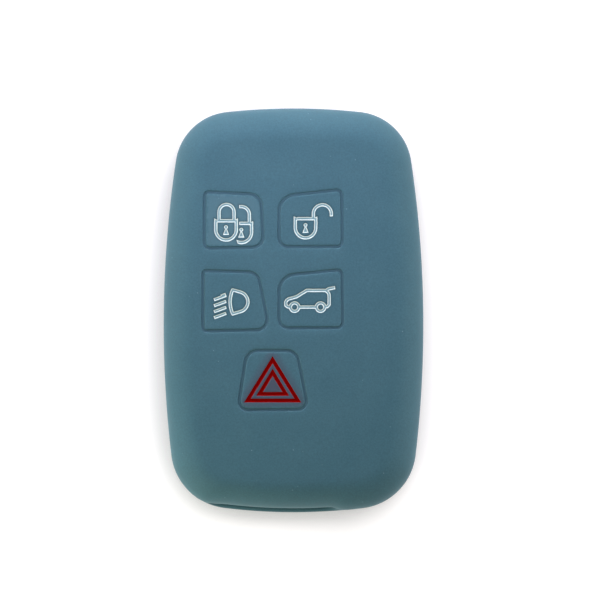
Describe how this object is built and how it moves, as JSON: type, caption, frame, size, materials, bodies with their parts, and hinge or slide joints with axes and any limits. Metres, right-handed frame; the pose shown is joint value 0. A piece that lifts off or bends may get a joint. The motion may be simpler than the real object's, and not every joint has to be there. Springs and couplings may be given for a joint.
{
  "type": "key fob cover",
  "caption": "Soft silicone sleeve for a car key fob, with outlined push buttons carrying inked symbols, an open back and a key ring slot.",
  "frame": {"origin": "middle of the cover's outline, on the plane it rests on with its back down", "axes": "+Y along the cover towards the end above the lock buttons, +X to the right seen from the front, +Z out of the button face"},
  "size_m": [0.054, 0.084, 0.018],
  "materials": {
    "silicone": "matte moulded",
    "white_ink": "matte ink",
    "red_ink": "matte ink"
  },
  "bodies": {
    "cover": {"cover_sleeve": "silicone", "lock_web": "silicone", "unlock_web": "silicone", "lights_web": "silicone", "tailgate_web": "silicone", "hazard_web": "silicone"},
    "lock_button": {"lock_pad": "silicone", "lock_front_padlock_ink": "white_ink", "lock_rear_padlock_ink": "white_ink", "lock_keyholes_ink": "white_ink"},
    "unlock_button": {"unlock_pad": "silicone", "unlock_padlock_ink": "white_ink", "unlock_keyhole_ink": "white_ink"},
    "lights_button": {"lights_pad": "silicone", "lamp_ink": "white_ink", "lamp_beams_ink": "white_ink"},
    "tailgate_button": {"tailgate_pad": "silicone", "car_ink": "white_ink"},
    "hazard_button": {"hazard_pad": "silicone", "hazard_outer_ink": "red_ink", "hazard_inner_ink": "red_ink"}
  },
  "joints": [
    {"name": "lock_press", "type": "slide", "parent": "cover", "child": "lock_button", "axis": [0, 0, -1], "range_m": [0, 0.0008], "stiffness_N_per_m": 3000, "deforming": ["lock_web"]},
    {"name": "unlock_press", "type": "slide", "parent": "cover", "child": "unlock_button", "axis": [0, 0, -1], "range_m": [0, 0.0008], "stiffness_N_per_m": 3000, "deforming": ["unlock_web"]},
    {"name": "lights_press", "type": "slide", "parent": "cover", "child": "lights_button", "axis": [0, 0, -1], "range_m": [0, 0.0008], "stiffness_N_per_m": 3000, "deforming": ["lights_web"]},
    {"name": "tailgate_press", "type": "slide", "parent": "cover", "child": "tailgate_button", "axis": [0, 0, -1], "range_m": [0, 0.0008], "stiffness_N_per_m": 3000, "deforming": ["tailgate_web"]},
    {"name": "hazard_press", "type": "slide", "parent": "cover", "child": "hazard_button", "axis": [0, 0, -1], "range_m": [0, 0.0008], "stiffness_N_per_m": 3000, "deforming": ["hazard_web"]}
  ]
}
